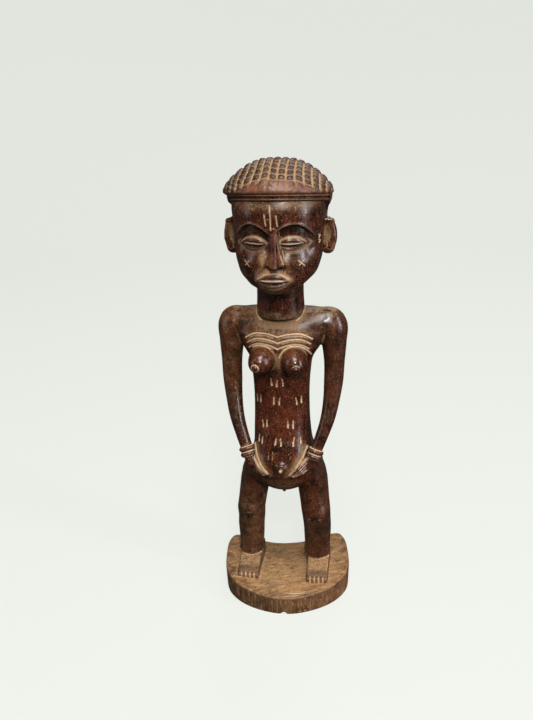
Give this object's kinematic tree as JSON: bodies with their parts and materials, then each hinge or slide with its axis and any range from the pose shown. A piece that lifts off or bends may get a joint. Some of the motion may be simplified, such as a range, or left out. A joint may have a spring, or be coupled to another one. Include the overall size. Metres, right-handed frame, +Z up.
{
  "type": "carved standing figure",
  "caption": "Carved dark-wood standing female figure with ridged cap of hair, hands laid on the belly, bent knees and a D-shaped plinth.",
  "frame": {"origin": "on the plinth's flat underside, on the figure's own upright axis", "axes": "+Z up, -Y the way the figure faces, +X the figure's own left"},
  "size_m": [0.1366, 0.1185, 0.4496],
  "materials": {
    "polished_wood": "hand-rubbed dark red-brown hardwood, soft gloss, pale dust in the cuts",
    "dusty_wood": "matt dusty brown hardwood with tool marks",
    "hair_wood": "worn brown hardwood, pale dust between the knobs",
    "bracelet_wood": "brown hardwood with pale rubbed ridges"
  },
  "bodies": {
    "root": {"plinth": "dusty_wood", "right_foot": "dusty_wood", "left_foot": "dusty_wood", "right_leg": "polished_wood", "left_leg": "polished_wood", "pelvis": "polished_wood", "torso": "polished_wood", "right_upper_arm": "polished_wood", "left_upper_arm": "polished_wood", "right_forearm": "polished_wood", "left_forearm": "polished_wood", "right_bracelet": "bracelet_wood", "left_bracelet": "bracelet_wood", "right_hand": "polished_wood", "left_hand": "polished_wood", "neck": "polished_wood", "head": "polished_wood", "right_ear": "polished_wood", "left_ear": "polished_wood", "headband": "hair_wood", "coiffure": "hair_wood"}
  },
  "joints": []
}
